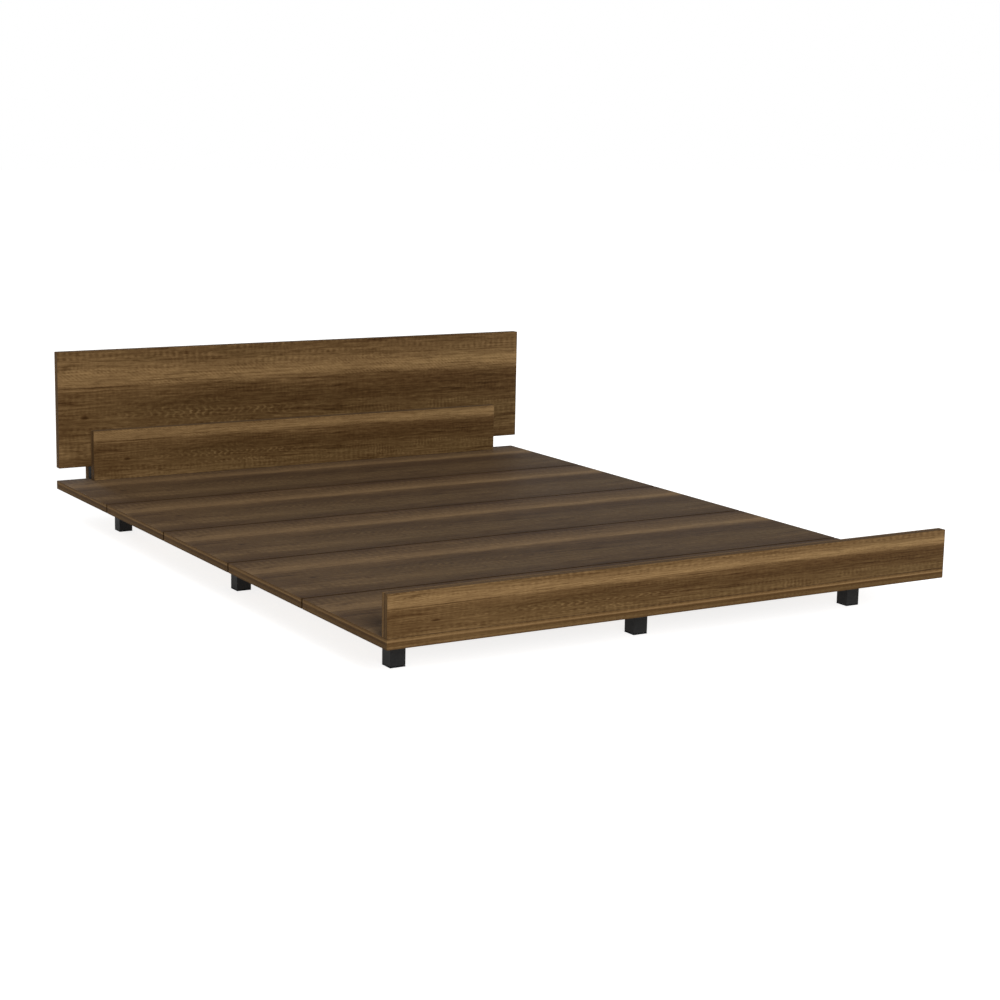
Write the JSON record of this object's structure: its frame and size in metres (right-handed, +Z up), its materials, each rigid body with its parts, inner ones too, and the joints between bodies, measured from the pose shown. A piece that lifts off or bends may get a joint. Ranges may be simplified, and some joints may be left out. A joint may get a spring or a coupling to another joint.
{
  "type": "bed frame",
  "caption": "Low platform bed frame of walnut-print boards: side-by-side deck boards on black square feet, a low footboard and a wide headboard clamped between two rails.",
  "frame": {"origin": "on the floor, at the middle of the frame's bounding box", "axes": "+Z up, +Y along the bed toward the headboard, +X across the bed"},
  "size_m": [1.6, 2.1452, 0.515],
  "materials": {
    "walnut_board": "satin walnut-print laminate on board",
    "pine": "planed",
    "black_steel": "satin black powder coat",
    "black_plastic": "matte",
    "zinc_steel": "bright zinc"
  },
  "bodies": {
    "root": {"bearer_center": "pine", "bearer_left": "pine", "bearer_right": "pine", "clamp_screw_center_lower": "zinc_steel", "clamp_screw_center_upper": "zinc_steel", "clamp_screw_left_lower": "zinc_steel", "clamp_screw_left_upper": "zinc_steel", "clamp_screw_right_lower": "zinc_steel", "clamp_screw_right_upper": "zinc_steel", "deck_board_1": "walnut_board", "deck_board_2": "walnut_board", "deck_board_3": "walnut_board", "deck_board_4": "walnut_board", "deck_board_5": "walnut_board", "deck_screw_center_1": "zinc_steel", "deck_screw_center_2": "zinc_steel", "deck_screw_center_3": "zinc_steel", "deck_screw_center_4": "zinc_steel", "deck_screw_center_5": "zinc_steel", "deck_screw_left_1": "zinc_steel", "deck_screw_left_2": "zinc_steel", "deck_screw_left_3": "zinc_steel", "deck_screw_left_4": "zinc_steel", "deck_screw_left_5": "zinc_steel", "deck_screw_right_1": "zinc_steel", "deck_screw_right_2": "zinc_steel", "deck_screw_right_3": "zinc_steel", "deck_screw_right_4": "zinc_steel", "deck_screw_right_5": "zinc_steel", "foot_cap_center_1": "black_plastic", "foot_cap_center_2": "black_plastic", "foot_cap_center_3": "black_plastic", "foot_cap_left_1": "black_plastic", "foot_cap_left_2": "black_plastic", "foot_cap_left_3": "black_plastic", "foot_cap_right_1": "black_plastic", "foot_cap_right_2": "black_plastic", "foot_cap_right_3": "black_plastic", "foot_center_1": "black_steel", "foot_center_2": "black_steel", "foot_center_3": "black_steel", "foot_left_1": "black_steel", "foot_left_2": "black_steel", "foot_left_3": "black_steel", "foot_right_1": "black_steel", "foot_right_2": "black_steel", "foot_right_3": "black_steel", "footboard": "walnut_board", "footboard_screw_center": "zinc_steel", "footboard_screw_left": "zinc_steel", "footboard_screw_right": "zinc_steel", "headboard": "walnut_board", "headboard_front_rail": "walnut_board", "headboard_rear_rail": "walnut_board", "headboard_spacer_left": "black_plastic", "headboard_spacer_right": "black_plastic", "rear_rail_screw_center": "zinc_steel", "rear_rail_screw_left": "zinc_steel", "rear_rail_screw_right": "zinc_steel"}
  },
  "joints": []
}
